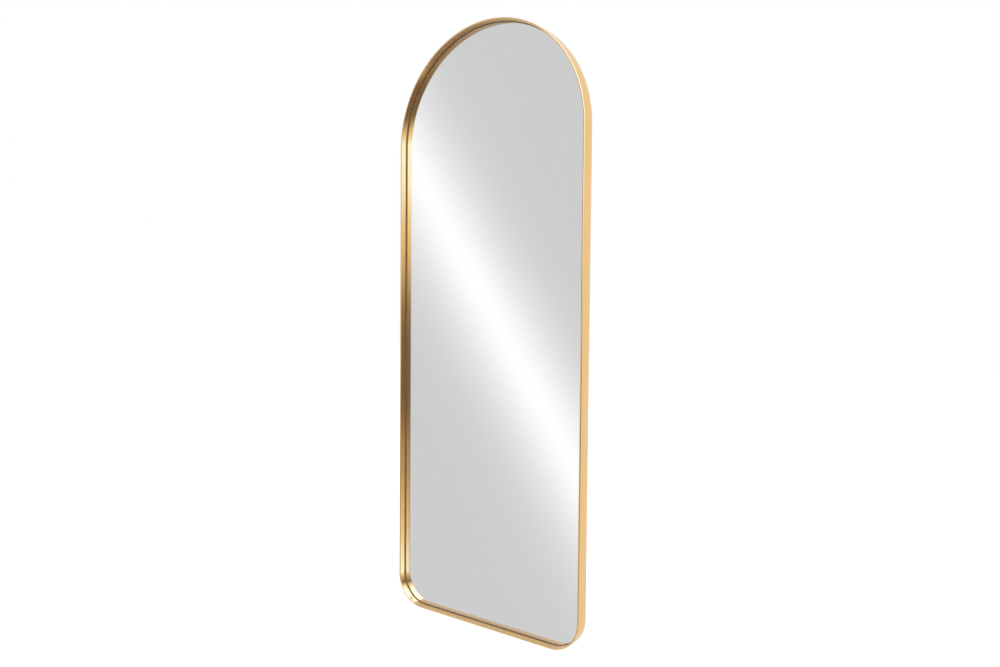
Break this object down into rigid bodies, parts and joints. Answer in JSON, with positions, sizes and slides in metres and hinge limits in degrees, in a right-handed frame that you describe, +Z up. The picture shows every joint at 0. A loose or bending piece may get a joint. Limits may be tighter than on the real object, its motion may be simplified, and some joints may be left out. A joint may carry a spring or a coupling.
{
  "type": "wall mirror",
  "caption": "Tall arched wall mirror in a deep-set brushed metal band, with a screwed back board, cross bars, wall pads and swinging hanging rings.",
  "frame": {"origin": "on the wall, midway between the two hooks that the hanging rings bear on when they are swung up", "axes": "+X to the right as seen from the front, +Y into the wall, +Z up; the lip faces -Y"},
  "size_m": [0.6, 0.039, 1.5998],
  "materials": {
    "brushed_gold": "brushed along the band and anodised gold",
    "mirror": "clear glass silvered on its back",
    "black_bead": "matt",
    "splinter_film": "matt woven film",
    "foam_tape": "matt foam",
    "fibreboard": "bare fibreboard",
    "zinc_plate": "zinc plated, satin",
    "screw_steel": "bright zinc",
    "ring_steel": "polished zinc",
    "pad_rubber": "matt"
  },
  "bodies": {
    "mirror": {"frame_band": "brushed_gold", "joint_plate": "zinc_plate", "joint_screws": "screw_steel", "mirror_glass": "mirror", "safety_film": "splinter_film", "edge_bead": "black_bead", "tape_strips": "foam_tape", "back_board": "fibreboard", "board_screws": "screw_steel", "upper_cross_bar": "zinc_plate", "lower_cross_bar": "zinc_plate", "cross_bar_screws": "screw_steel", "hanger_strap_left": "zinc_plate", "hanger_strap_right": "zinc_plate", "hanger_screws": "screw_steel", "wall_pad_upper_left": "pad_rubber", "wall_pad_upper_right": "pad_rubber", "wall_pad_lower_left": "pad_rubber", "wall_pad_lower_right": "pad_rubber", "pad_screws": "screw_steel"},
    "ring_left": {"hanger_ring_left": "ring_steel"},
    "ring_right": {"hanger_ring_right": "ring_steel"}
  },
  "joints": [
    {"name": "ring_left_swing", "type": "hinge", "parent": "mirror", "child": "ring_left", "pos_m": [-0.2, -0.00375, -0.027], "axis": [1, 0, 0], "range_deg": [0, 180]},
    {"name": "ring_right_swing", "type": "hinge", "parent": "mirror", "child": "ring_right", "pos_m": [0.2, -0.00375, -0.027], "axis": [1, 0, 0], "range_deg": [0, 180]}
  ]
}
